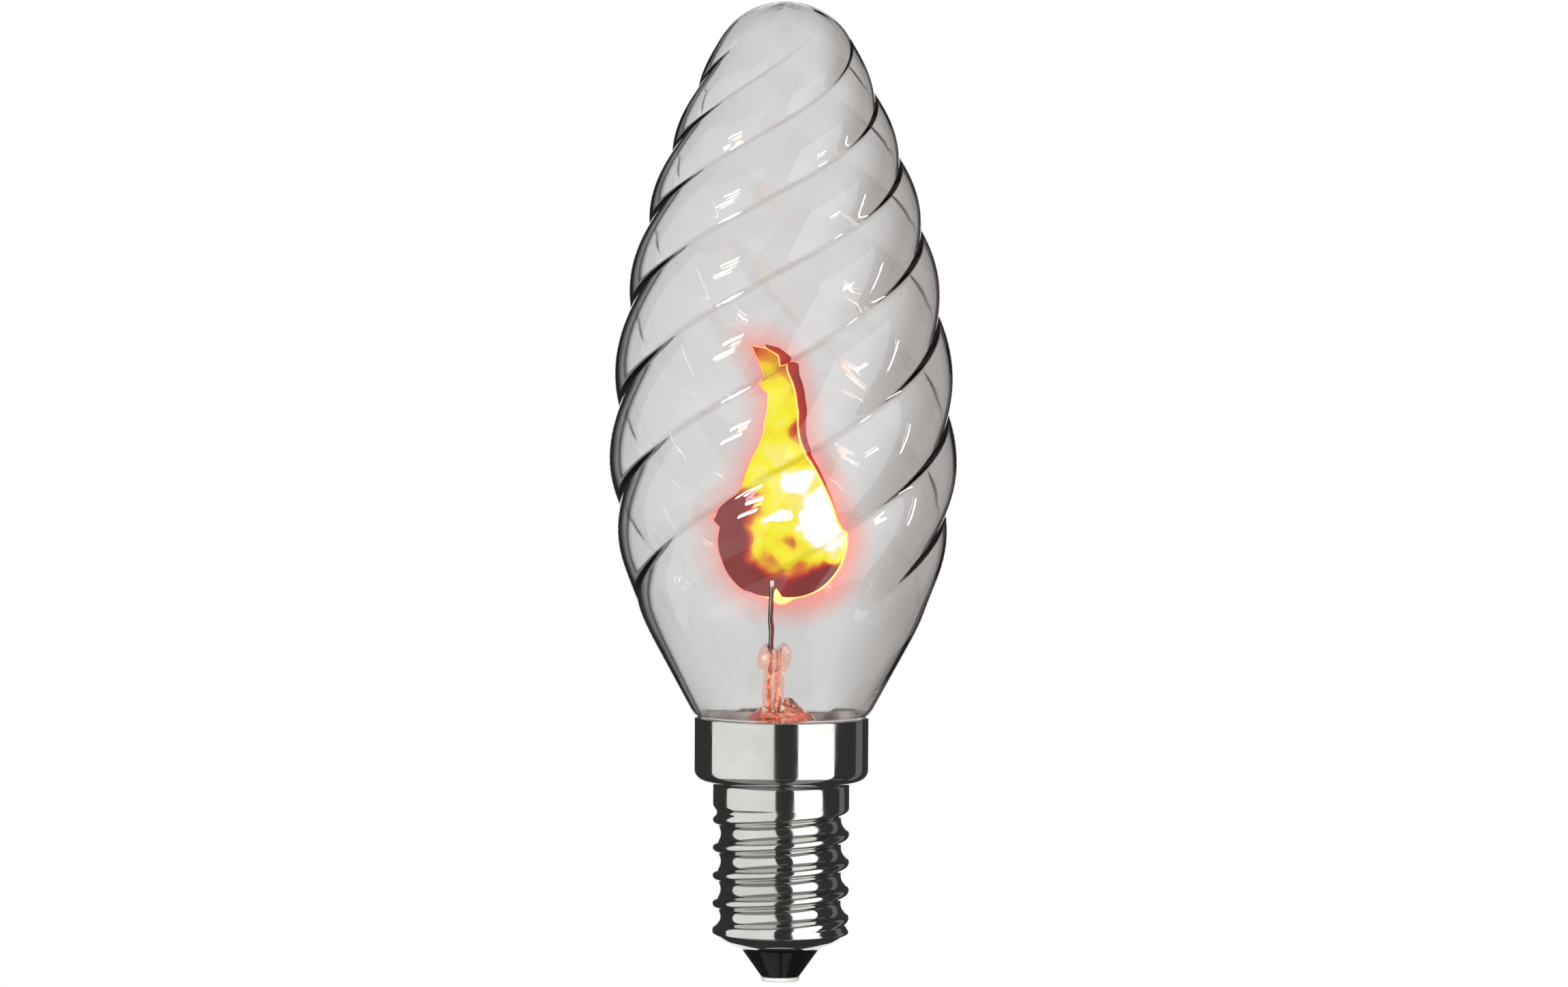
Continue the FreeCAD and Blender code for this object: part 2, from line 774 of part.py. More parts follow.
def place_solder(spread):
    """Solder cone that joins the shell's lead to the inside of the shell."""
    name = "shell_solder"
    cone = document.addObject("Part::Cone", name + "_cone")
    cone.setExpression("Radius1", cell("lead_radius"))
    cone.setExpression("Radius2", cell("solder_radius"))
    cone.setExpression("Height", cell("solder_length"))
    cone.Placement.Rotation = FreeCAD.Rotation(FreeCAD.Vector(1, 0, 0), -90)
    cone.setExpression(".Placement.Base.x", cell("lead_offset"))
    cone.setExpression(".Placement.Base.y", cell("screw_radius - shell_wall - solder_length"))
    cone.setExpression(".Placement.Base.z", cell(SHELL_SOLDER))
    bore = document.addObject("Part::Cylinder", name + "_bore")
    wall = "( screw_radius - shell_wall ) * cos( 180 / shell_columns )"
    bore.setExpression("Radius", cell(wall))
    bore.setExpression("Height", cell("collar_bottom - thread_top"))
    bore.setExpression(".Placement.Base.z", cell("thread_top"))
    solder = document.addObject("Part::Common", name)
    solder.Label = name
    solder.Base = cone
    solder.Tool = bore
    BODIES.append(solder)


def check_document():
    """Stop unless every object is sound and every part is one valid solid."""
    for item in document.Objects:
        if "Invalid" in item.State or "Error" in item.State:
            raise RuntimeError("object failed: %s" % item.Name)
    for body in BODIES:
        if body.Shape.isNull() or not body.Shape.isValid():
            raise RuntimeError("bad shape: %s" % body.Label)
        if len(body.Shape.Solids) != 1:
            raise RuntimeError("not one solid: %s" % body.Label)


def write_parts():
    """Write one file for each part, named by its label."""
    os.makedirs("parts", exist_ok=True)
    for body in BODIES:
        body.Shape.exportStep("parts/%s.step" % body.Label)
        print("%-24s %10.3f mm3" % (body.Label, body.Shape.Volume))


fill_sheet()
build_envelope()
build_screw_shell()
build_cap_inside()
build_stem()
build_flames()
build_leads()
document.recompute()
check_document()
write_parts()
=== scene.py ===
import math
import bpy
import numpy as np
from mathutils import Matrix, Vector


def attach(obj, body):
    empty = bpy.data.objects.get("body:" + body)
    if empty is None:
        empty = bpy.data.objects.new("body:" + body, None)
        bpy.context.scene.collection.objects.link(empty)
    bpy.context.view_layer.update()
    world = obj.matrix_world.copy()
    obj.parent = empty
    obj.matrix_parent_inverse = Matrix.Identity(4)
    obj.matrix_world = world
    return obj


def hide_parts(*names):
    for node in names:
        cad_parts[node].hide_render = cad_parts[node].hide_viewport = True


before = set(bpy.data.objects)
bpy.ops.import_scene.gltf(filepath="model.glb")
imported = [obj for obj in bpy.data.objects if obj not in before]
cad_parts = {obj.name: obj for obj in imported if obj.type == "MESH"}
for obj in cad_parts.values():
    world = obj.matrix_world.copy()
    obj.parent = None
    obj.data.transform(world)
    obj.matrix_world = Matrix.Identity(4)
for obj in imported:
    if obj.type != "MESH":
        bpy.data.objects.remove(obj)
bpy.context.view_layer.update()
MM = 0.001
TAU = 2 * math.pi


# Materials

def colour(code):
    """Linear colour of an sRGB hex value, channel by channel: a power of 2.4
    with a straight foot."""
    channels = [int(code[i:i + 2], 16) / 255 for i in (1, 3, 5)]
    straight = [c / 12.92 if c <= 0.04045 else ((c + 0.055) / 1.055) ** 2.4 for c in channels]
    return (*straight, 1.0)


def add(tree, kind, given=None):
    """Add one node. What is given goes to its properties or its sockets, by
    name or number, and the output of another node is linked."""
    node = tree.nodes.new("ShaderNode" + kind)
    for name, value in (given or {}).items():
        if isinstance(value, bpy.types.NodeSocket):
            tree.links.new(value, node.inputs[name])
        elif isinstance(name, str) and hasattr(node, name):
            setattr(node, name, value)
        else:
            node.inputs[name].default_value = value
    return node


def blank(name):
    """New material with an empty tree."""
    made = bpy.data.materials.new(name)
    made.use_nodes = True
    made.node_tree.nodes.clear()
    return made, made.node_tree


def principled(tree, given, volume=None):
    """Close a tree with one Principled shader, and its volume if it has one."""
    surface = add(tree, "BsdfPrincipled", given).outputs[0]
    add(tree, "OutputMaterial", {"Surface": surface, **({"Volume": volume} if volume else {})})


def object_place(tree):
    """Place on the object, in metres."""
    return add(tree, "TexCoord").outputs["Object"]


def attribute(tree, name):
    """Strength that each point of a mesh carries."""
    return add(tree, "Attribute", {"attribute_name": name}).outputs["Fac"]


def noise(tree, place, size, detail, **more):
    """Noise with blotches about the given size, in metres."""
    return add(tree, "TexNoise", {"Scale": 1 / size, "Detail": detail, "Vector": place,
                                  **more}).outputs


def calc(tree, operation, *terms, **more):
    """One step of arithmetic over numbers and outputs."""
    return add(tree, "Math", {"operation": operation, **more,
                              **dict(enumerate(terms))}).outputs[0]


def span(tree, value, ends, onto=(0.0, 1.0), smooth=False):
    """Map a value between two ends onto two others, level beyond them."""
    way = "SMOOTHSTEP" if smooth else "LINEAR"
    return add(tree, "MapRange", {"interpolation_type": way, 0: value, 1: ends[0], 2: ends[1],
                                  3: onto[0], 4: onto[1]}).outputs[0]


def shade_by(tree, factor, stops):
    """Colour ramp over a factor. Each stop is a place and a hex colour."""
    ramp = add(tree, "ValToRGB", {"Fac": factor})
    marks = ramp.color_ramp.elements
    while len(marks) < len(stops):
        marks.new(0.5)
    for mark, (place, code) in zip(marks, stops):
        mark.position = place
        mark.color = colour(code)
    return ramp.outputs["Color"]


def mix(tree, factor, under, over, blend="MIX"):
    """Lay one colour over another by a factor."""
    return add(tree, "MixRGB", {"blend_type": blend, "Fac": factor, "Color1": under,
                                "Color2": over}).outputs[0]


def bump(tree, height, strength, depth):
    """Skin raised by a pattern, up to the given depth in metres."""
    return add(tree, "Bump", {"Strength": strength, "Distance": depth,
                              "Height": height}).outputs[0]


def blown_glass():
    """Soda-lime glass blown in a fluted mould. It is clear with a faint warm grey body, and its
    skin keeps the slow waviness of the mould. On the front faces of the outer skin, shade is
    painted into its colour: a painted shade a little darker in the creases; near-black painted
    outlines where the skin turns away and on the flanks of the creases, standing in for the dark
    room that the glass would bend into view; and a painted grey shade on the side that leans to
    the dark end of the room."""
    glass, tree = blank("blown_soda_lime_glass")
    facing = add(tree, "LayerWeight", {"Blend": 0.5}).outputs["Facing"]
    crease = attribute(tree, "crease")
    geometry = add(tree, "NewGeometry").outputs
    lean = add(tree, "SeparateXYZ", {0: geometry["Normal"]}).outputs
    # Painted outlines of shade are broader to the left, finer at the crown, and follow the
    # creases
    left = span(tree, lean["X"], (-0.62, -0.9), (0.0, 0.24))
    crown = span(tree, lean["Z"], (0.72, 0.93), (0.0, -0.35))
    gain = span(tree, lean["X"], (0.1, 0.7), (0.42, 0.56))
    away = calc(tree, "ADD", calc(tree, "ADD", facing, left), crown)
    away = calc(tree, "MULTIPLY_ADD", crease, gain, away)
    full = calc(tree, "MULTIPLY_ADD", left, 0.9, 0.87)
    # Painted outline: near-black shade where the skin turns away from the eye
    line = shade_by(tree, span(tree, away, (0.7, full), smooth=True), [
        (0.0, "#ffffff"), (0.22, "#5a5653"), (0.34, "#2c2a28"), (0.5, "#8a837d"),
        (0.7, "#5a5551"), (0.86, "#0c0c0b"), (1.0, "#000000")])
    # Painted shade, greyer on the side that leans towards +X
    right = shade_by(tree, span(tree, lean["X"], (0.3, 0.8), smooth=True),
                     [(0.0, "#ffffff"), (1.0, "#b8afaa")])
    # Painted shade, a little darker in the creases
    painted_crease_shade = shade_by(tree, crease, [(0.2, "#ffffff"), (0.85, "#d6d0cb")])
    # The painted outlines and painted shades together, laid only on the front faces of the outer
    # skin
    tint = mix(tree, 1.0, mix(tree, 1.0, line, right, "MULTIPLY"), painted_crease_shade, "MULTIPLY")
    outer = calc(tree, "SUBTRACT", attribute(tree, "skin"), geometry["Backfacing"],
                 use_clamp=True)
    # Mould waviness some 9 mm long
    waves = noise(tree, object_place(tree), 9 * MM, 1.0)["Fac"]
    body = add(tree, "VolumeAbsorption", {"Color": colour("#776f6b"), "Density": 490.0})
    principled(tree, {
        "Base Color": mix(tree, outer, (1, 1, 1, 1), tint), "Roughness": 0.0, "IOR": 1.5,
        "Transmission Weight": 1.0, "Normal": bump(tree, waves, 0.12, 0.4 * MM)},
        body.outputs[0])
    return glass


def stem_glass():
    """Lead glass of the pressed stem, drawn and pinched while soft. It pipes
    the orange light of the discharge, so it is pink where the eye looks
    straight in and runs to deep red where its skin turns away, and the light
    leaks out in small yellow sparks at the pinch marks."""
    glass, tree = blank("pressed_lead_glass")
    facing = add(tree, "LayerWeight", {"Blend": 0.5}).outputs["Facing"]
    tint = shade_by(tree, facing, [(0.05, "#ffd6c8"), (0.25, "#f79a7c"), (0.5, "#b02c12"),
                                   (0.9, "#5c1006")])
    # Pinch marks some 1.1 mm long
    marks = noise(tree, object_place(tree), 1.1 * MM, 2.0)["Fac"]
    leak = shade_by(tree, marks, [(0.5, "#32110a"), (0.62, "#a8481f"), (0.7, "#fff4c0")])
    principled(tree, {
        "Base Color": tint, "Roughness": 0.02, "IOR": 1.53, "Transmission Weight": 1.0,
        "Emission Color": leak, "Emission Strength": 0.5,
        "Normal": bump(tree, marks, 0.6, 0.3 * MM)})
    return glass


def nickel_plate():
    """Bright nickel plate on drawn brass. The drawing die leaves fine rings
    round the cap, too fine to show, so they are drawn 0.25 mm apart, and
    handling leaves slightly dulled patches some 5 mm wide."""
    plate, tree = blank("bright_nickel_plate")
    place = object_place(tree)
    patches = noise(tree, place, 5 * MM, 4.0)["Fac"]
    stretched = add(tree, "Mapping", {"Scale": (0.04, 0.04, 1.0), "Vector": place}).outputs[0]
    rings = noise(tree, stretched, 0.25 * MM, 2.0)["Fac"]
    principled(tree, {
        "Base Color": shade_by(tree, patches, [(0.3, "#d9d8d6"), (0.8, "#c6c4c0")]),
        "Metallic": 1.0, "Roughness": span(tree, patches, (0.35, 0.75), (0.05, 0.16)),
        "Normal": bump(tree, rings, 0.04, 0.02 * MM)})
    return plate


def black_glass():
    """Black fused glass of the insulator: glossy, with a faint ripple and
    small pits some 1.2 mm apart, where it cooled in its mould."""
    fused, tree = blank("black_fused_glass")
    ripple = noise(tree, object_place(tree), 1.2 * MM, 3.0)["Fac"]
    principled(tree, {
        "Base Color": colour("#0b0b0c"), "IOR": 1.52, "Coat Weight": 0.3,
        "Coat Roughness": 0.05, "Roughness": span(tree, ripple, (0.0, 1.0), (0.08, 0.22)),
        "Normal": bump(tree, ripple, 0.25, 0.05 * MM)})
    return fused


def grained(name, given, shades, grain, detail, strength, depth):
    """Finish of two near shades in grains of the given size, which also raise
    its skin."""
    made, tree = blank(name)
    grains = noise(tree, object_place(tree), grain, detail)["Fac"]
    light, dark = shades
    principled(tree, {"Base Color": shade_by(tree, grains, [(0.3, dark), (0.7, light)]),
                      "Normal": bump(tree, grains, strength, depth), **given})
    return made


def soft_metal(name, light, dark, grain, rough):
    """Soft drawn or cast metal, tinned parts and solder or copper wire: two
    near shades in grains of the given size, and a satin skin."""
    return grained(name, {"Metallic": 1.0, "Roughness": rough}, (light, dark), grain,
                   3.0, 0.2, grain / 20)


def dull_body(name, light, dark, grain, rough):
    """Dull cement, ceramic, woven sleeve or lead-tin coat: two near shades in
    grains of the given size on a matt, slightly raised skin."""
    return grained(name, {"Roughness": rough}, (light, dark), grain, 5.0, 0.4, grain / 5)


def lead_wire():
    """Drawn nickel wire in the glow of the plates: tarnished nearly black, with a painted
    highlight as a bright line along its left, a painted deep red glow of the plates on its right
    and a painted glint on its end at the weld, from a height of 39.6 mm upwards."""
    wire, tree = blank("drawn_nickel_wire")
    place = object_place(tree)
    lean = add(tree, "SeparateXYZ", {0: add(tree, "NewGeometry").outputs["Normal"]}).outputs
    scratch_and_highlight_noise = noise(tree, place, 0.5 * MM, 3.0)["Fac"]
    # Painted light by the lean of the skin: a painted highlight line on the left and the painted
    # red glow of the plates on the right, broken up by the noise
    turn = calc(tree, "MULTIPLY_ADD", lean["X"], 0.5, 0.25)
    turn = calc(tree, "MULTIPLY_ADD", scratch_and_highlight_noise, 0.5, turn)
    tint = shade_by(tree, turn, [
        (0.0, "#3c2b25"), (0.3, "#4a3830"), (0.38, "#e8dfd6"), (0.46, "#3a241e"),
        (0.6, "#2c130e"), (0.8, "#8c2a16"), (1.0, "#c04a2a")])
    height = add(tree, "SeparateXYZ", {0: place}).outputs["Z"]
    # Painted glint on the end at the weld, from 39.6 mm upwards
    painted_glint_on_weld = span(tree, height, (39.6 * MM, 40.0 * MM))
    principled(tree, {
        "Base Color": mix(tree, painted_glint_on_weld, tint, colour("#f4efe8")), "Metallic": 1.0,
        "Roughness": 0.25, "Normal": bump(tree, scratch_and_highlight_noise, 0.2, 0.02 * MM)})
    return wire


# Surfaces

def mesh_piece(name, points, faces, material, smooth=True):
    """Object at the origin from an array of points in metres and its faces."""
    mesh = bpy.data.meshes.new(name)
    mesh.from_pydata(points.tolist(), [], faces)
    mesh.polygons.foreach_set("use_smooth", [smooth] * len(mesh.polygons))
    mesh.materials.append(material)
    mesh.update()
    piece = bpy.data.objects.new(name, mesh)
    bpy.context.scene.collection.objects.link(piece)
    return piece


def carry(piece, name, given):
    """Give each point of a piece a strength of its own."""
    piece.data.attributes.new(name, "FLOAT", "POINT").data.foreach_set("value", given)


def turned(reach, angle, height):
    """Grid of points from their reach and angle round Z and their height."""
    x, y, z = np.broadcast_arrays(reach * np.cos(angle), reach * np.sin(angle), height)
    return np.stack([x, y, z], axis=-1)


def spun_points(profile, columns):
    """Points of a profile turned round Z: each of its radii goes round a
    circle at its own height."""
    angle = TAU * np.arange(columns) / columns
    return turned(profile[:, :1], angle, profile[:, 1:]).reshape(-1, 3)


def band_faces(rows, columns, loop=False):
    """Four-sided faces between rows of points that each close on themselves.
    Loop joins the last row to the first."""
    row = np.arange(rows if loop else rows - 1)[:, None]
    column = np.arange(columns)[None, :]
    after = (column + 1) % columns
    above = (row + 1) % rows
    corners = [row * columns + column, row * columns + after,
               above * columns + after, above * columns + column]
    return np.stack(corners, axis=-1).reshape(-1, 4)


def ease(share):
    """Rise from 0 to 1, level at both ends."""
    share = np.clip(share, 0, 1)
    return share * share * (3 - 2 * share)


# Envelope: the same outline and flutes as its solid, in millimetres

BELLY, MIDDLE, LOW_ARC, HIGH_ARC, TOP, GLASS_FOOT = 17.5, 52.5, 38.6, 88.0, 98.6, 27.0
SLOPE = math.radians(28.8)
LOBES, FLUTE_DEPTH, GLASS_WALL = 6, 1.2, 0.5
FLUTE_START, FLUTE_END, FLUTE_RUN_OUT = 36.0, 98.0, 8.0
# Height of a whole turn, where the turn is nought, and how it quickens
TWIST, NO_TWIST, QUICKER_FROM, QUICKER_BY = 60.2, 57.55, 65.0, 0.077
# Round of a crease, how far its shade reaches, and how much thinner its wall is,
# as shares of half a lobe and of the wall
CREASE_ROUND, CREASE_REACH, CREASE_THINNER = 0.12, 0.16, 0.15
# Radius and height along the neck, down outside and up again inside
NECK = np.array([[8.3, 26.75], [8.05, 26.6], [8.05, 25.3], [8.05, 24.0],
                 [7.15, 24.0], [7.15, 25.3], [7.15, 26.3], [7.6, 26.8]])
# A hair narrower front to back, so as to stay inside the box of the frame
TRIM = np.array([1.0, 0.989, 1.0])


def glass_radius(height):
    """Distance of the outline from the axis: a cone, a lower arc to the
    belly, a long upper arc and a round crown, tangent to each other."""
    across = HIGH_ARC - BELLY
    spare = HIGH_ARC - TOP
    centre = (across ** 2 + MIDDLE ** 2 - spare ** 2) / (2 * (MIDDLE + spare))
    crown = TOP - centre
    lean = math.atan2(centre - MIDDLE, across)
    crown_start = centre + crown * math.sin(lean)
    cone_top = MIDDLE - LOW_ARC * math.sin(SLOPE)
    rise = height - MIDDLE
    bend = np.where(rise > 0, HIGH_ARC, LOW_ARC)
    bowed = BELLY - bend + np.sqrt(np.maximum(bend ** 2 - rise ** 2, 0))
    cone_radius = BELLY - LOW_ARC * (1 - math.cos(SLOPE))
    coned = cone_radius - (cone_top - height) * math.tan(SLOPE)
    dome = np.sqrt(np.maximum(crown ** 2 - (height - centre) ** 2, 0))
    return np.where(height > crown_start, dome, np.where(height < cone_top, coned, bowed))


def flute_turn(height):
    """Angle of the creases: an even twist that quickens towards the crown."""
    past = np.maximum(0, height - QUICKER_FROM)
    return np.radians(360 / TWIST * (height - NO_TWIST) + QUICKER_BY * past ** 2)


def flute_share(height):
    """How deep the flutes are: full along the body, none at the neck and at
    the crown."""
    return (ease((height - FLUTE_START) / FLUTE_RUN_OUT)
            * ease((FLUTE_END - height) / FLUTE_RUN_OUT))


def lobe_angles(columns):
    """Angles round the glass: an even turn less 0.7 of a sine in each lobe,
    so that they lie closer together near the creases."""
    turn = LOBES * np.arange(columns) / columns
    return TAU / LOBES * (turn - 0.7 * np.sin(TAU * turn) / TAU)


def crease_nearness(angle):
    """Share of the way from the middle of a lobe to its crease."""
    half = math.pi / LOBES
    return np.abs(np.mod(angle, 2 * half) / half - 1)


def lobed_grid(height, columns):
    """Points of the fluted outer skin, a row for each height. Seen from
    above, a lobe is an arc of a circle from crease to crease, and the crease
    is rounded a little."""
    height = height[:, None]
    crest = glass_radius(height)
    valley = crest * (1 - FLUTE_DEPTH / BELLY * flute_share(height))
    half = math.pi / LOBES
    angle = lobe_angles(columns)[None, :]
    off = crease_nearness(angle)
    blunt = 1 - np.sqrt((1 - off) ** 2 + CREASE_ROUND ** 2)
    start = 1 - math.sqrt(1 + CREASE_ROUND ** 2)
    off = (blunt - start * (1 - off)) * half
    rise = np.maximum(crest - valley * math.cos(half), 1e-6)
    bow = ((valley * math.sin(half)) ** 2 + rise ** 2) / (2 * rise)
    centre = crest - bow
    reach = centre * np.cos(off) + np.sqrt(np.maximum(bow ** 2 - (centre * np.sin(off)) ** 2, 0))
    return turned(reach, angle + flute_turn(height), height)


def inner_grid(height, columns):
    """Points of the inner skin: the outer skin moved inwards along its own
    normal by the wall, which is a little thinner at the creases."""
    grid = lobed_grid(height, columns)
    along = np.gradient(grid, axis=0)
    around = np.roll(grid, -1, axis=1) - np.roll(grid, 1, axis=1)
    normal = np.cross(around, along)
    normal /= np.linalg.norm(normal, axis=-1, keepdims=True)
    near = crease_nearness(lobe_angles(columns))[None, :, None]
    return grid - GLASS_WALL * (1 - CREASE_THINNER * near) * normal


def crown_heights(rows):
    """Heights from the foot of the body to the top, closer together towards
    the top by a power of 1.6, so that the rows stay evenly spaced along the
    round crown."""
    share = np.arange(rows) / rows
    return GLASS_FOOT + (TOP - GLASS_FOOT) * (1 - (1 - share) ** 1.6)


def build_envelope(material):
    """Fluted glass: outer skin from the crown down to the neck, then the
    inner skin back up to its own crown, closed at both poles. Each point
    carries whether it is on the outer skin, and how near a crease it is."""
    columns = LOBES * 32
    steps = 160
    height = crown_heights(steps)
    outer = lobed_grid(height[::-1], columns).reshape(-1, 3)
    inner = inner_grid(height, columns).reshape(-1, 3)
    angle = lobe_angles(columns) + flute_turn(GLASS_FOOT)
    neck = turned(NECK[:, :1], angle, NECK[:, 1:]).reshape(-1, 3)
    poles = [[0, 0, TOP], [0, 0, TOP - GLASS_WALL]]
    points = np.concatenate([outer, neck, inner, poles]) * MM * TRIM
    rows = 2 * steps + len(NECK)
    pole = rows * columns
    here = np.arange(columns)
    after = (here + 1) % columns
    last = pole - columns
    crown = np.stack([here, after, np.full(columns, pole)], axis=-1)
    inner_crown = np.stack([last + after, last + here, np.full(columns, pole + 1)], axis=-1)
    faces = (band_faces(rows, columns)[:, ::-1].tolist() + crown.tolist()
             + inner_crown.tolist())
    piece = mesh_piece("fluted_glass", points, faces, material)
    skin = np.zeros(len(points))
    skin[:len(outer)] = 1.0
    skin[pole] = 1.0
    crease = np.zeros(len(points))
    near = np.clip(1 - (1 - crease_nearness(lobe_angles(columns))) / CREASE_REACH, 0, 1)
    crease[:len(outer)] = (flute_share(height[::-1])[:, None] * near[None, :]).reshape(-1)
    carry(piece, "skin", skin)
    carry(piece, "crease", crease)
    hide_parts("glass_envelope")
    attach(piece, "root")
    piece.visible_shadow = False
    return piece


# Screw shell, in millimetres

CREST, ROOT, PITCH, CREST_HEIGHT, SHELL_WALL = 6.9, 6.1, 2.822, 14.87, 0.3
THREAD_START, THREAD_END, THREAD_RUN_OUT = 4.9, 17.9, 1.4
# Share of the two rounds, and of the pitch each way, that belongs to the crest
CREST_SHARE, CREST_WAY = 0.32, 0.16


def arc(x, z, radius, first, last, steps):
    """Radii and heights along an arc, from its first to its last angle."""
    angle = np.radians(np.linspace(first, last, steps))
    return np.stack([x + radius * np.cos(angle), z + radius * np.sin(angle)], axis=-1)


# Radii and heights of the plain parts, in the order in which they are joined
FOOT = np.array([[4.0, 3.25], [4.5, 3.5], [5.1, 3.72], [5.6, 3.95], [6.05, 4.2], [6.4, 4.5],
                 [6.7, 4.72]])
COLLAR = np.concatenate([
    [[6.9, 18.4], [6.9, 19.0]], arc(7.4, 19.7, 0.5, 180, 90, 6), arc(7.6, 21.4, 1.2, -90, 0, 10),
    [[8.8, 22.5], [8.8, 24.5], [8.8, 26.3]], arc(8.65, 26.55, 0.15, 0, 180, 7)])
INNER_COLLAR = np.concatenate([
    [[8.5, 24.5]], arc(7.6, 21.4, 0.9, 0, -90, 8), arc(7.4, 19.7, 0.8, 90, 180, 6)])
INNER_FOOT = np.concatenate([FOOT[:0:-1] + (-0.2, 0.22), [[4.0, 3.5]]])


def thread_drop(share):
    """Depth below the crest at a share of the pitch from it: a narrow round
    at the crest runs into a wide round at the root, tangent to each other."""
    depth = CREST - ROOT
    both = (PITCH ** 2 / 4 + depth ** 2) / (2 * depth)
    crest_round = CREST_SHARE * both
    root_round = both - crest_round
    away = np.minimum(share, 1 - share) * PITCH
    near = crest_round - np.sqrt(np.maximum(crest_round ** 2 - away ** 2, 0))
    far = depth - root_round + np.sqrt(root_round ** 2 - (PITCH / 2 - away) ** 2)
    return np.where(away < CREST_WAY * PITCH, near, far)


def shell_rows(height, inset, columns):
    """Points of the rolled thread at each height. It climbs a pitch in a
    turn and runs out smoothly at both ends."""
    height = height[:, None]
    angle = TAU * np.arange(columns)[None, :] / columns
    share = np.mod((height - CREST_HEIGHT) / PITCH - angle / TAU, 1)
    ends = (ease((THREAD_END - height) / THREAD_RUN_OUT)
            * ease((height - THREAD_START) / THREAD_RUN_OUT))
    reach = CREST - inset - thread_drop(share) * ends
    return turned(reach, angle, height).reshape(-1, 3)


def build_shell(material):
    """Drawn shell as one closed wall: mouth, foot, thread, neck and collar
    with rounded corners outside, and the same back down inside."""
    columns = 192
    climb = np.linspace(THREAD_START, THREAD_END, 150)
    foot, collar, inner_collar, inner_foot = (
        spun_points(part, columns) for part in (FOOT, COLLAR, INNER_COLLAR, INNER_FOOT))
    points = np.concatenate([
        foot, shell_rows(climb, 0.0, columns), collar,
        inner_collar, shell_rows(climb[::-1], SHELL_WALL, columns), inner_foot]) * MM
    faces = band_faces(len(points) // columns, columns, loop=True).tolist()
    piece = mesh_piece("rolled_shell", points, faces, material)
    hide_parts("screw_shell")
    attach(piece, "root")
    return piece


# Flame plates and the glow round them, in millimetres

# Middle, half axes and tilt of each patch, and how bright or dull it is
LIT_PATCHES = (
    (-1.4, 62.4, 4.4, 5.2, 0, 0.4), (-0.4, 57.6, 4.4, 5.4, 0, 0.68),
    (-0.6, 53.6, 6.4, 5.4, 0, 0.66), (-2.8, 51.0, 4.8, 4.4, 20, 0.66),
    (0.6, 49.2, 7.0, 5.6, 0, 0.72), (-0.8, 44.8, 7.8, 5.8, 0, 0.66),
    (4.0, 47.2, 5.0, 7.8, 22, 1.2), (1.6, 50.2, 5.2, 3.6, -20, 0.98),
    # The first patch below, thin and tilted, is a painted glint of the glass lying over the
    # plate, not glow
    (-0.4, 46.9, 4.0, 1.3, -30, 1.0), (5.6, 44.4, 3.4, 4.0, 0, 0.9),
    (3.6, 43.4, 3.6, 2.6, -28, 0.62))
DULL_PATCHES = (
    (1.1, 56.2, 1.3, 2.4, 0, 0.14), (1.0, 44.7, 2.4, 1.3, 0, 0.22),
    (3.2, 44.2, 1.8, 1.0, 0, 0.26), (-2.6, 45.2, 1.6, 1.2, 0, 0.12),
    (-1.2, 43.0, 1.8, 1.1, 0, 0.14), (-6.6, 45.4, 4.6, 7.4, -8, 0.7),
    (4.8, 39.2, 5.2, 3.4, -28, 0.75), (-4.8, 40.0, 4.4, 3.6, 0, 0.45))
# The glow's reach from the rim, its grid square, its thickness and its front face
GLOW_REACH, GLOW_SQUARE, GLOW_THICK, GLOW_FRONT = 3.2, 0.16, 0.08, -0.04
# Width of its rim line, its hot spot and that spot's width, and the least glow kept
RIM_LINE, HOT_SPOT, HOT_WIDTH, GLOW_LEAST = 0.2, (-0.1, 38.8), 1.1, 0.005


def oval(tree, place, x, z, wide, tall, tilt):
    """How far a point lies inside a soft oval: 1 at its middle, 0 at its rim,
    with the middle and half axes in millimetres and the tilt in degrees."""
    moved = add(tree, "Mapping", {
        "vector_type": "TEXTURE", "Location": (x * MM, 0, z * MM),
        "Rotation": (0, math.radians(tilt), 0), "Scale": (wide * MM, 1000.0, tall * MM),
        "Vector": place})
    length = add(tree, "VectorMath", {"operation": "LENGTH", 0: moved.outputs[0]})
    return span(tree, length.outputs["Value"], (1.0, 0.15), smooth=True)


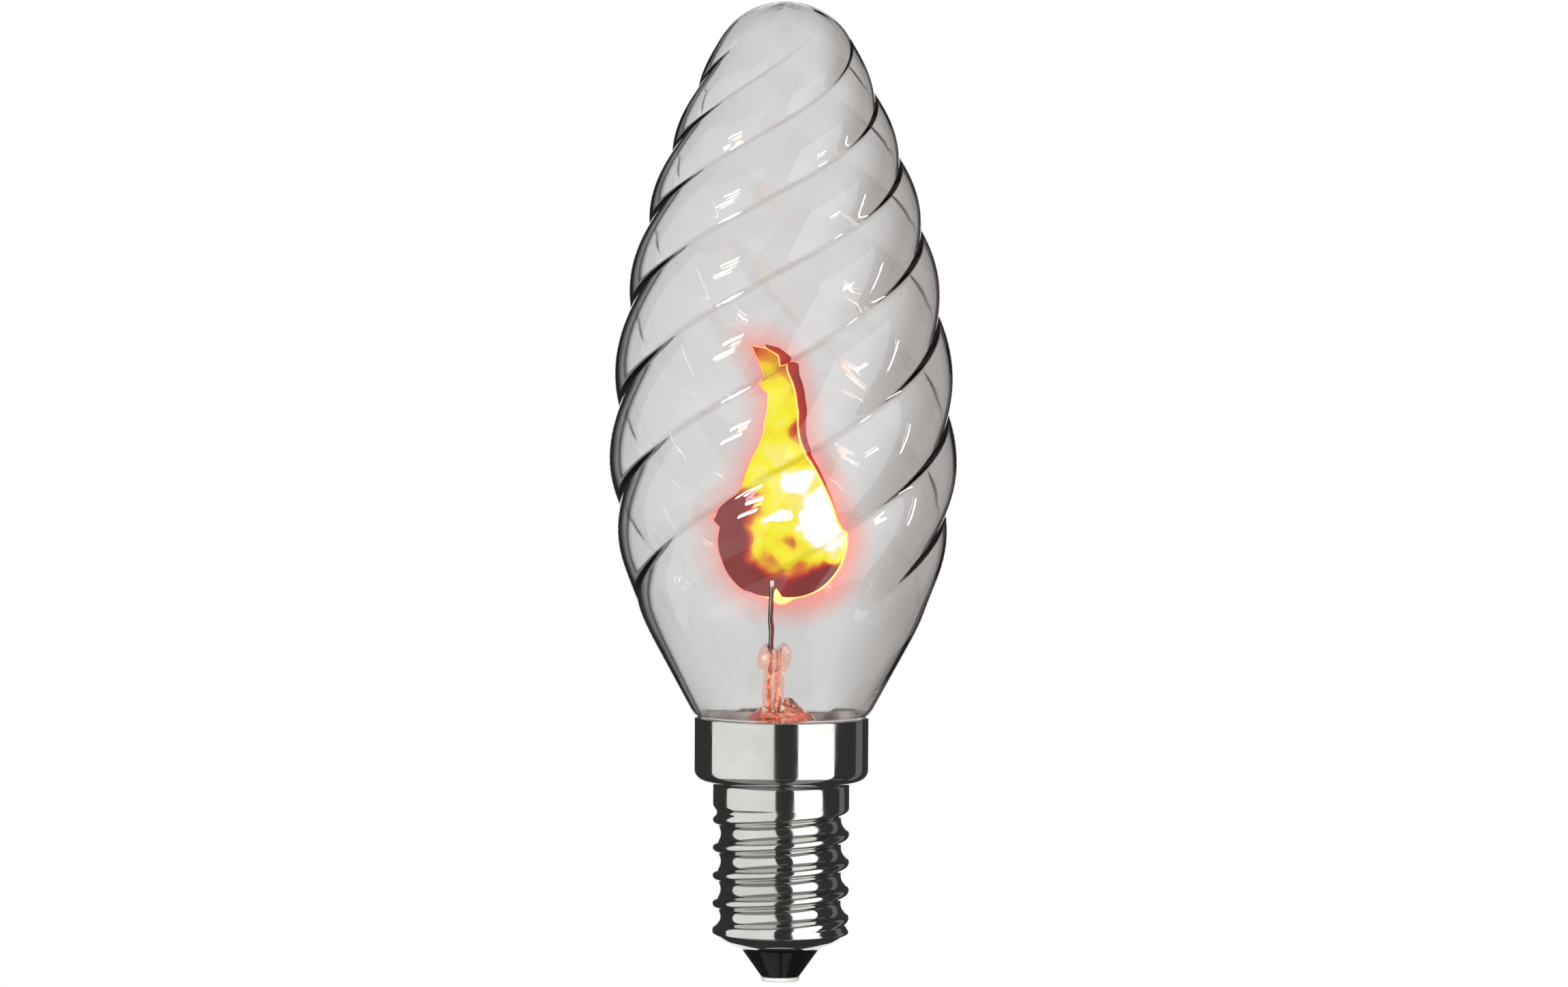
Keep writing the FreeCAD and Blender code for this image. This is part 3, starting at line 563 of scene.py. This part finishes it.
def lit_plate():
    """Iron sheet with a dull oxide coat, in the glow of the gas that clings to it. Its skin
    glows from deep red through orange and yellow to white where the discharge sits, in swirls
    some 3 mm long, and the coat beneath is nearly black. One thin white streak among the patches
    is a painted glint of the glass, not glow."""
    coat, tree = blank("oxide_coat_in_glow")
    place = object_place(tree)
    swirl = noise(tree, place, 3.4 * MM, 2.5, Distortion=0.8)["Fac"]
    ripple = span(tree, swirl, (0.3, 0.7), (-0.1, 0.1))
    # The patches are pulled out of shape by up to 1.3 mm
    pull = 1.3 * MM
    pulled = add(tree, "VectorMath", {
        "operation": "MULTIPLY_ADD", 0: noise(tree, place, 2.2 * MM, 1.5)["Color"],
        1: (2 * pull, 0.0, 2 * pull), 2: place}).outputs[0]
    place = add(tree, "VectorMath", {"operation": "ADD", 0: pulled,
                                     1: (-pull, 0.0, -pull)}).outputs[0]
    glow = None
    for *shape, level in LIT_PATCHES:
        patch = calc(tree, "MULTIPLY", oval(tree, place, *shape), level)
        glow = calc(tree, "SMOOTH_MAX", patch, glow, 0.12) if glow else patch
    for *shape, level in DULL_PATCHES:
        glow = calc(tree, "MULTIPLY_ADD", oval(tree, place, *shape), -level, glow)
    hue = shade_by(tree, calc(tree, "ADD", glow, ripple), [
        (0.0, "#700604"), (0.12, "#8c0a02"), (0.24, "#b23002"), (0.34, "#c25c06"),
        (0.42, "#cd8a06"), (0.5, "#e0c804"), (0.66, "#e4dc0a"), (0.8, "#e6d878"),
        (0.93, "#ffffff")])
    principled(tree, {
        "Base Color": colour("#0e0808"), "Roughness": 0.8, "Specular IOR Level": 0.15,
        "Emission Color": hue, "Emission Strength": 1.5,
        "Normal": bump(tree, swirl, 0.3, 0.05 * MM)})
    return coat


def dark_plate():
    """Iron sheet with a dull oxide coat, away from the discharge: nearly
    black, lit a deep red by the glow of the plate before it, in blotches
    some 2.5 mm wide."""
    coat, tree = blank("oxide_coat_in_shade")
    blotch = noise(tree, object_place(tree), 2.5 * MM, 3.0)["Fac"]
    principled(tree, {
        "Base Color": colour("#180c0c"), "Roughness": 0.7, "Specular IOR Level": 0.15,
        "Emission Color": shade_by(tree, blotch, [(0.35, "#351214"), (0.65, "#922824")]),
        "Emission Strength": 1.0, "Normal": bump(tree, blotch, 0.3, 0.05 * MM)})
    return coat


def glowing_gas():
    """Neon lit by the discharge, a soft skin some 3 mm deep round the plates:
    clear at its rim, pink further in, pale orange where it is hottest."""
    gas, tree = blank("neon_glow")
    glow = attribute(tree, "glow")
    clear = add(tree, "BsdfTransparent", {"Color": shade_by(tree, glow, [
        (0.0, "#ffffff"), (0.35, "#ffe9e6"), (0.7, "#ffd6ce"), (1.0, "#ffb060")])})
    light = add(tree, "Emission", {"Strength": 2.0, "Color": shade_by(tree, glow, [
        (0.0, "#000000"), (0.35, "#3d0f0b"), (0.7, "#601b14"), (1.0, "#ffc878")])})
    both = add(tree, "AddShader", {0: clear.outputs[0], 1: light.outputs[0]})
    add(tree, "OutputMaterial", {"Surface": both.outputs[0]})
    return gas


def rim_of(node):
    """Ends of the straight pieces of a plate's outline, seen from the front:
    the edges of its front face that only one of its triangles uses."""
    mesh = node.data
    mesh.calc_loop_triangles()
    spots = np.empty(len(mesh.vertices) * 3)
    mesh.vertices.foreach_get("co", spots)
    spots = spots.reshape(-1, 3)
    corners = np.empty(len(mesh.loop_triangles) * 3, dtype=np.int64)
    mesh.loop_triangles.foreach_get("vertices", corners)
    spots, alike = np.unique(np.round(spots, 7), axis=0, return_inverse=True)
    corners = alike.reshape(-1)[corners].reshape(-1, 3)
    front = spots[:, 1] < spots[:, 1].min() + 0.01 * MM
    corners = corners[front[corners].all(axis=1)]
    edges = np.sort(np.concatenate([corners[:, [0, 1]], corners[:, [1, 2]], corners[:, [2, 0]]]))
    edges, used = np.unique(edges, axis=0, return_counts=True)
    edges = edges[used == 1]
    return spots[edges[:, 0]][:, [0, 2]] / MM, spots[edges[:, 1]][:, [0, 2]] / MM


def glow_at(spots, start, end):
    """Strength of the glow at each spot. From the rim outwards and inwards it
    falls off to the power of 1.4. It starts from 0.4 to 0.8, more to the
    right, where the plate is brightest. A fine line of 0.35 on the rim itself
    and a hot spot of 0.8 at the plate's foot are added."""
    run = end - start
    along = ((spots[:, None] - start) * run).sum(axis=-1)
    share = along / np.maximum((run ** 2).sum(axis=-1), 1e-9)
    nearest = start + np.clip(share, 0, 1)[..., None] * run
    far = np.linalg.norm(spots[:, None] - nearest, axis=-1).min(axis=1)
    side = np.clip(0.6 + 0.04 * spots[:, 0], 0.4, 0.8)
    haze = side * np.clip(1 - far / GLOW_REACH, 0, 1) ** 1.4
    line = 0.35 * np.exp(-(far / RIM_LINE) ** 2)
    hot = 0.8 * np.exp(-((spots - HOT_SPOT) ** 2).sum(axis=-1) / HOT_WIDTH ** 2)
    return np.clip(haze + line + hot, 0, 1)


def build_glow(plate, material):
    """Lit gas as a thin closed band along the front plate's rim, in the gap
    between the two plates. The band is the squares of a fine grid that the
    light reaches, with walls where a square has no neighbour."""
    start, end = rim_of(plate)
    low = np.minimum(start, end).min(axis=0) - GLOW_REACH
    high = np.maximum(start, end).max(axis=0) + GLOW_REACH
    x, z = np.meshgrid(np.arange(low[0], high[0], GLOW_SQUARE),
                       np.arange(low[1], high[1], GLOW_SQUARE))
    spots = np.stack([x.ravel(), z.ravel()], axis=-1)
    glow = glow_at(spots, start, end)

    rows, columns = x.shape
    size = rows * columns
    first = (np.arange(rows - 1)[:, None] * columns + np.arange(columns - 1)).reshape(-1)
    front = np.stack([first, first + 1, first + 1 + columns, first + columns], axis=-1)
    front = front[(glow[front] > GLOW_LEAST).any(axis=1)]
    edges = np.stack([front, np.roll(front, -1, axis=1)], axis=-1).reshape(-1, 2)
    keys = np.sort(edges, axis=1) @ (size, 1)
    _, place, count = np.unique(keys, return_index=True, return_counts=True)
    border = edges[place[count == 1]]
    walls = np.concatenate([border[:, ::-1], border + size], axis=1)
    used, faces = np.unique(np.concatenate([front, front[:, ::-1] + size, walls]),
                            return_inverse=True)
    near_face = np.stack([spots[:, 0], np.full(size, GLOW_FRONT), spots[:, 1]], axis=-1)
    points = np.concatenate([near_face, near_face + (0, GLOW_THICK, 0)])[used]
    piece = mesh_piece("neon_glow", points * MM, faces.reshape(-1, 4).tolist(), material)
    carry(piece, "glow", np.concatenate([glow, glow])[used])
    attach(piece, "root")
    piece.visible_shadow = False
    return piece


# Stage, in metres

FLOOR_SIDE, FLOOR_HEIGHT = 0.5, -0.15
# Reach, foot and top of the cards, and the gap between a hood and a level card
CARD_REACH, CARD_LOW, CARD_HIGH, CARD_GAP = 0.9, -0.6, 0.7, 0.01
# Reach of the dark ring, and of the inner edge of a hood or an apron
RING_REACH, HOOD_INSIDE = 0.93, 0.05
# Bearings of the openings, in degrees leftwards from the camera
RIGHT_OPENING, LEFT_OPENING = (-74, -22), (9.6, 104)
REAR_OPENING, RIGHT_STRIP = (166, 194), (226, 244)
# Height that the lamps face, and place, aim, roll in degrees and picture width
# of the camera
LAMP_AIM = 0.05
CAMERA_PLACE, CAMERA_AIM, CAMERA_ROLL = (0.0001, -0.7, 0.084), (0.0001, 0, 0.0492), 0.35
PICTURE_WIDE = 0.1577


def seen_by_eye(tree):
    """1 for what is looked at straight, through glass or in a gloss, and 0
    for the light that falls on the object."""
    path = add(tree, "LightPath").outputs
    seen = calc(tree, "MAXIMUM", path["Is Camera Ray"], path["Is Transmission Ray"])
    return calc(tree, "MAXIMUM", seen, path["Is Glossy Ray"])


def card_finish(name, strength, code="#ffffff", rough=0.5):
    """Black card with an even light of its own."""
    made, tree = blank(name)
    principled(tree, {"Base Color": colour("#000000"), "Roughness": rough,
                      "Emission Color": colour(code), "Emission Strength": strength})
    return made


def flat_card(name, side, height, material):
    """Level square stage card, from half its side and its height."""
    corners = np.array([[-side, -side, height], [side, -side, height],
                        [side, side, height], [-side, side, height]])
    card = mesh_piece(name, corners, [[0, 1, 2, 3]], material, smooth=False)
    return card


def hide_card(card):
    """Leave a stage card to reflections only."""
    card.visible_camera = False
    card.visible_diffuse = False
    card.visible_shadow = False
    card.visible_transmission = False


def round_card(name, material, bearings, near, far):
    """Card bent round the lamp between two bearings. Its two edges are given
    by their reach from the axis and their height."""
    steps = 64
    turns = np.radians(np.linspace(*bearings, steps))
    ring = np.stack([-np.sin(turns), -np.cos(turns)], axis=-1)
    points = np.concatenate([np.column_stack([reach * ring, np.full(steps, height)])
                             for reach, height in (near, far)])
    start = np.arange(steps - 1)
    faces = np.stack([start, start + 1, steps + 1 + start, steps + start], axis=-1)
    card = mesh_piece(name, points, faces.tolist(), material, smooth=False)
    hide_card(card)


def build_stage():
    """Pale floor well below the lamp, a white world for what looks straight
    out, and a dark room of cards that only reflections see: a ring and two
    level cards, with tall bright panels to the left and the right of the
    camera and behind the lamp, grey hoods and aprons over and under the front
    two, and a dim strip at the far right."""
    floor, tree = blank("pale_floor")
    principled(tree, {
        "Base Color": colour("#d6d6d4"), "Roughness": 0.8, "Emission Color": (1, 1, 1, 1),
        "Emission Strength": calc(tree, "MULTIPLY", seen_by_eye(tree), 0.15)})
    flat_card("floor", FLOOR_SIDE, FLOOR_HEIGHT, floor).visible_glossy = False

    world = bpy.data.worlds.new("studio")
    bpy.context.scene.world = world
    world.use_nodes = True
    tree = world.node_tree
    tree.nodes.clear()
    level = span(tree, seen_by_eye(tree), (0.0, 1.0), (0.55, 1.0))
    sky = add(tree, "Background", {"Color": (1, 1, 1, 1), "Strength": level})
    add(tree, "OutputWorld", {"Surface": sky.outputs[0]})

    dark = card_finish("dark_card", 0.036, rough=0.9)
    dim = card_finish("dim_card", 0.15)
    grey = card_finish("grey_card", 0.26)
    left = card_finish("left_panel", 1.15, "#f2f1ef")
    right = card_finish("right_panel", 1.7)
    low, high = (CARD_REACH, CARD_LOW), (CARD_REACH, CARD_HIGH)
    hood = (CARD_REACH, CARD_HIGH - CARD_GAP), (HOOD_INSIDE, CARD_HIGH - CARD_GAP)
    apron = (CARD_REACH, CARD_LOW + CARD_GAP), (HOOD_INSIDE, CARD_LOW + CARD_GAP)
    round_card("dark_ring", dark, (0, 360), (RING_REACH, CARD_LOW), (RING_REACH, CARD_HIGH))
    round_card("right_panel", right, RIGHT_OPENING, low, high)
    round_card("left_panel", left, LEFT_OPENING, low, high)
    round_card("rear_panel", left, REAR_OPENING, low, high)
    round_card("right_strip", dim, RIGHT_STRIP, low, high)
    round_card("left_hood", grey, LEFT_OPENING, *hood)
    round_card("right_hood", grey, RIGHT_OPENING, *hood)
    round_card("left_apron", grey, LEFT_OPENING, *apron)
    round_card("right_apron", grey, RIGHT_OPENING, *apron)
    for name, height in (("upper_card", CARD_HIGH), ("lower_card", CARD_LOW)):
        hide_card(flat_card(name, CARD_REACH, height, dark))


def lamp(name, place, wide, tall, power, glossy=False):
    """Area lamp that faces the middle of the object. Only a glossy one is
    seen in reflections."""
    data = bpy.data.lights.new(name, "AREA")
    data.shape = "RECTANGLE"
    data.size = wide
    data.size_y = tall
    data.energy = power
    item = bpy.data.objects.new(name, data)
    bpy.context.scene.collection.objects.link(item)
    item.location = place
    aim = Vector((0, 0, LAMP_AIM)) - item.location
    item.rotation_euler = aim.to_track_quat("-Z", "Y").to_euler()
    item.visible_glossy = glossy
    item.visible_camera = False
    item.visible_transmission = glossy
    return item


def build_glints(pieces):
    """Small lamps that only the glass mirrors, as glints on each lobe. The
    last one is the light of the discharge on the glass before it."""
    glinted = bpy.data.collections.new("glass_that_glints")
    for piece in pieces:
        glinted.objects.link(piece)
    for name, place, wide, tall, power, tint in (
            ("upper_glint", (-0.48, -0.62, 0.3), 0.2, 0.03, 3.5, (1, 1, 1)),
            ("lower_glint", (-0.48, -0.62, 0.16), 0.2, 0.03, 3.5, (1, 1, 1)),
            ("side_glint", (0.66, -0.5, 0.24), 0.13, 0.02, 1.5, (1, 1, 1)),
            ("tall_glint", (0.78, -0.06, 0.1), 0.012, 0.25, 1.5, (1, 1, 1)),
            ("flame_glint", (-0.42, -0.65, 0.23), 0.09, 0.035, 0.5, (1.0, 0.35, 0.12))):
        glint = lamp(name, place, wide, tall, power, glossy=True)
        glint.data.color = tint
        glint.light_linking.receiver_collection = glinted


def build_camera():
    """Camera level with the upper glass, 0.7 m away, looking a little down,
    so that the picture is 157.7 mm wide at the lamp."""
    data = bpy.data.cameras.new("camera")
    camera = bpy.data.objects.new("camera", data)
    bpy.context.scene.collection.objects.link(camera)
    camera.location = CAMERA_PLACE
    aim = Vector(CAMERA_AIM) - camera.location
    roll = Matrix.Rotation(math.radians(CAMERA_ROLL), 3, "Z")
    level = aim.to_track_quat("-Z", "Y").to_matrix()
    camera.rotation_euler = (level @ roll).to_euler()
    data.lens = data.sensor_width * aim.length / PICTURE_WIDE
    data.clip_start = 0.01
    bpy.context.scene.camera = camera


build_camera()
build_stage()
lamp("left_softbox", (-0.55, -0.55, 0.25), 0.5, 0.7, 7.0)
lamp("right_softbox", (0.45, -0.65, 0.25), 0.4, 0.7, 6.0)

GLASS = blown_glass()
build_glints([build_envelope(GLASS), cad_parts["stem_glass"]])
build_shell(nickel_plate())
build_glow(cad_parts["flame_plate_front"], glowing_gas())

FINISHES = {
    "stem_glass": stem_glass(),
    "exhaust_tube": GLASS,
    "flame_plate_front": lit_plate(),
    "flame_plate_back": dark_plate(),
    "base_insulator": black_glass(),
    "cap_cement": dull_body("capping_cement", "#e2dfd9", "#c9c5bd", 0.3 * MM, 0.9),
    "resistor_body": dull_body("lacquered_ceramic", "#cbb48a", "#b39c74", 0.4 * MM, 0.5),
    "insulating_sleeve": dull_body("woven_glass_fibre", "#e4dfd0", "#c9c3b2", 0.2 * MM, 0.8),
    "contact_plate": dull_body("lead_tin_coat", "#c9c8c5", "#b9b8b4", 0.5 * MM, 0.5),
    **dict.fromkeys(("contact_solder", "shell_solder", "resistor_end_cap_top",
                     "resistor_end_cap_bottom"),
                    soft_metal("tinned_metal", "#c9c8c4", "#a5a39f", 0.5 * MM, 0.3)),
    **dict.fromkeys(("inner_lead_front", "inner_lead_back"), lead_wire()),
    **dict.fromkeys(("seal_wire_front", "seal_wire_back", "outer_lead_shell",
                     "outer_lead_contact", "resistor_lead_top", "resistor_lead_bottom"),
                    soft_metal("drawn_copper_wire", "#c98a63", "#a86a45", 0.3 * MM, 0.35)),
}
for part, finish in FINISHES.items():
    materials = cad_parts[part].data.materials
    materials.clear()
    materials.append(finish)

bpy.context.scene.view_settings.view_transform = "Standard"
